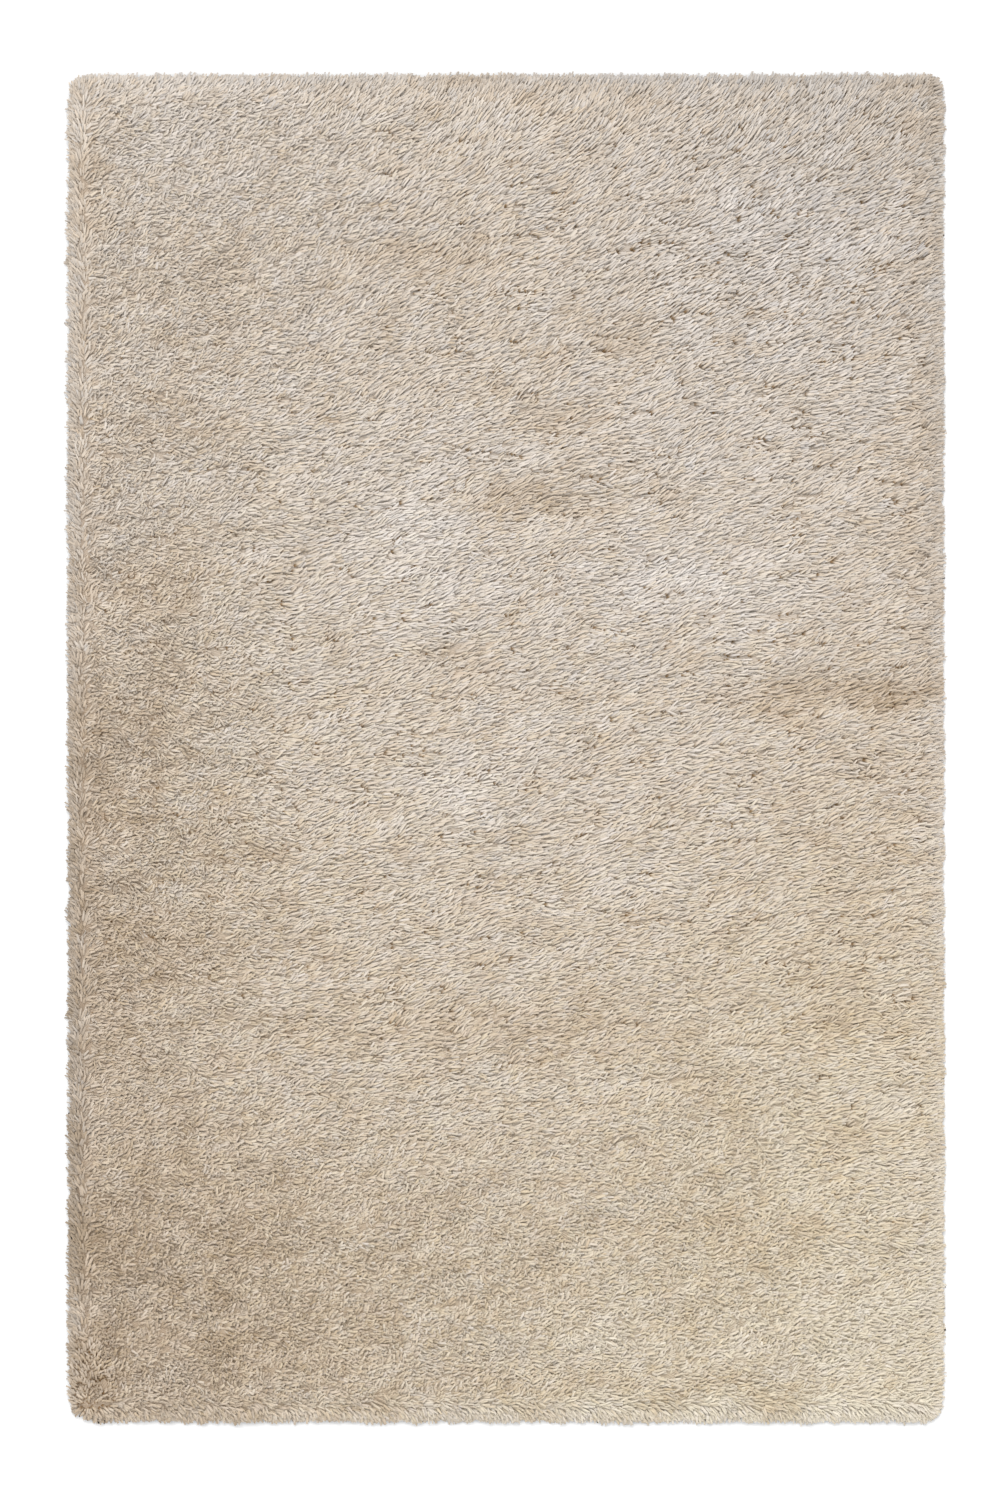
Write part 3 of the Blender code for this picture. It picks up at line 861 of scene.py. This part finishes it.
def makeBand(name, tree, lowEnd, highEnd, kinds, yarn, changed=None):
    band = bpy.data.objects.new(name, bed.data.copy())
    bpy.context.scene.collection.objects.link(band)
    grower = band.modifiers.new("growPile", "NODES")
    grower.node_group = tree
    ends = {"Low End": lowEnd, "High End": highEnd}
    values = {**pileSizes, **(changed or {}), **ends, "Tufts": kinds, "Yarn": yarn}
    for item in tree.interface.items_tree:
        if item.in_out == "INPUT" and item.name in values:
            grower[item.identifier] = values[item.name]
    band.update_tag()
    shown = bpy.context.evaluated_depsgraph_get()
    mesh = bpy.data.meshes.new_from_object(band.evaluated_get(shown))
    band.modifiers.clear()
    band.data = mesh
    mesh.name = band.name
    softenShading(mesh)
    mapColours(mesh)
    return band


colourGroup = yarnColourGroup()
yarn = yarnMaterial(colourGroup)
bed.data.materials.append(bedMaterial(colourGroup))
tuftKinds = makeTuftKinds(yarn)
pileTree = buildPileTree()
reach, bandCount = pileBands["reach"], pileBands["count"]
bandEnds = [-reach + 2 * reach * number / bandCount for number in range(bandCount + 1)]
bands = []
for number in range(bandCount):
    lowEnd, highEnd = bandEnds[number:number + 2]
    band = makeBand(f"pile_yarns_{number + 1}", pileTree, lowEnd, highEnd, tuftKinds, yarn)
    bands.append(band)
    print(band.name, "grown,", len(band.data.polygons), "faces")
bands.append(makeBand("rim_yarns", pileTree, -reach, reach, tuftKinds, yarn, rimSizes))
print("rim_yarns grown,", len(bands[-1].data.polygons), "faces")
print("pile grown,", sum(len(band.data.polygons) for band in bands), "faces in all")

# The ground cloth that the pile is tufted into: a thin flat sheet under it, a little inside its rim
clothSizes = {"inset": 0.026, "thick": 0.0024, "corner": 0.012, "cornerSteps": 5, "rib": 0.0045}
clothFinish = {
    "roughness": 0.95, "specular": 0.2, "sheen": 0.0, "sheenRoughness": 0.5,
    "thread": (0.56, 0.47, 0.36), "between": (0.34, 0.27, 0.19),
    "wander": 0.6, "bump": 0.6, "bumpDeep": 0.0008,
}


def clothMaterial():
    material, tree, shader = plainMaterial("ground cloth", clothFinish)
    # the wave texture has a rib every pi / 10 m at a scale of 1
    inputs = {
        "Vector": addNode(tree, "ShaderNodeTexCoord").outputs["Object"],
        "Scale": math.pi / 10 / clothSizes["rib"], "Distortion": clothFinish["wander"],
    }
    warp, weft = (
        addNode(tree, "ShaderNodeTexWave", inputs, wave_type="BANDS", bands_direction=direction)
        for direction in ("X", "Y")
    )
    woven = mathNode(tree, "MULTIPLY", warp.outputs["Fac"], weft.outputs["Fac"])
    colour = addNode(tree, "ShaderNodeMix", {
        "Factor": woven, "A": (*clothFinish["between"], 1.0), "B": (*clothFinish["thread"], 1.0),
    }, data_type="RGBA")
    tree.links.new(colour.outputs["Result"], shader.inputs["Base Color"])
    addBump(tree, shader, woven, clothFinish)
    return material


def makeCloth():
    halfX = cadHigh.x - clothSizes["inset"]
    halfY = cadHigh.y - clothSizes["inset"]
    corner, steps = clothSizes["corner"], clothSizes["cornerSteps"]
    bm = bmesh.new()
    outline = []
    for quarter, (sideX, sideY) in enumerate(((1, 1), (-1, 1), (-1, -1), (1, -1))):
        middle = Vector((sideX * (halfX - corner), sideY * (halfY - corner), clothSizes["thick"]))
        for step in range(steps + 1):
            outline.append(bm.verts.new(middle + headingVector(90 * (quarter + step / steps)) * corner))
    bm.faces.new(outline)
    closeBelow(bm, 0.0)
    cloth = objectFrom(bm, "ground_cloth")
    cloth.data.materials.append(clothMaterial())
    return cloth, (2 * halfX, 2 * halfY)


cloth, clothFlat = makeCloth()
print("ground cloth made")

# Every piece rides on the rug's one body, and the bed stands for the CAD solid
for piece in (bed, cloth, *bands):
    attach(piece, "root")
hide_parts("shag_rug")

# A plain pale floor, even soft light from all round with a large soft lamp beyond the rug's head, and a long
# lens overhead
stageSizes = {
    "floorHalf": 40.0, "floorDrop": 0.0004, "floorColour": (0.93, 0.93, 0.93),
    "floorFinish": {"roughness": 0.9, "specular": 0.0, "sheen": 0.0, "sheenRoughness": 0.5},
    "skyColour": (1.0, 1.0, 1.0), "sky": 0.97,
    "lampPower": 1.43, "lampSoftness": 32, "lampPlace": (-0.3, 2.4, 3.6),
}
photoView = {"width": 1000, "height": 1500, "metresPerPixel": 0.001484, "rugX": 505, "rugY": 748, "lens": 110}


def makeStage():
    side, drop = 2 * stageSizes["floorHalf"], stageSizes["floorDrop"]
    bpy.ops.mesh.primitive_plane_add(size=side, location=(0, 0, -drop))
    floor = bpy.context.object
    floor.name = "floor"
    material, _, shader = plainMaterial("pale floor", stageSizes["floorFinish"])
    shader.inputs["Base Color"].default_value = (*stageSizes["floorColour"], 1.0)
    floor.data.materials.append(material)
    world = bpy.data.worlds.new("studio")
    world.use_nodes = True
    sky = world.node_tree.nodes["Background"].inputs
    sky["Color"].default_value = (*stageSizes["skyColour"], 1.0)
    sky["Strength"].default_value = stageSizes["sky"]
    bpy.context.scene.world = world
    lamp = bpy.data.objects.new("softLamp", bpy.data.lights.new("softLamp", "SUN"))
    lamp.data.angle = math.radians(stageSizes["lampSoftness"])
    lamp.data.energy = stageSizes["lampPower"]
    lamp.location = stageSizes["lampPlace"]
    lamp.rotation_euler = (-lamp.location).to_track_quat("-Z", "Y").to_euler()
    bpy.context.scene.collection.objects.link(lamp)


def makeCamera():
    camera = bpy.data.objects.new("camera", bpy.data.cameras.new("camera"))
    camera.data.lens = photoView["lens"]
    camera.data.sensor_fit = "AUTO"
    long = photoView["height"] * photoView["metresPerPixel"]
    camera.location = (
        (photoView["width"] / 2 - photoView["rugX"]) * photoView["metresPerPixel"],
        (photoView["rugY"] - photoView["height"] / 2) * photoView["metresPerPixel"],
        long * photoView["lens"] / camera.data.sensor_width,
    )
    bpy.context.scene.collection.objects.link(camera)
    bpy.context.scene.camera = camera


makeStage()
makeCamera()
bpy.context.scene.view_settings.view_transform = "Standard"
print("stage, light and camera set")
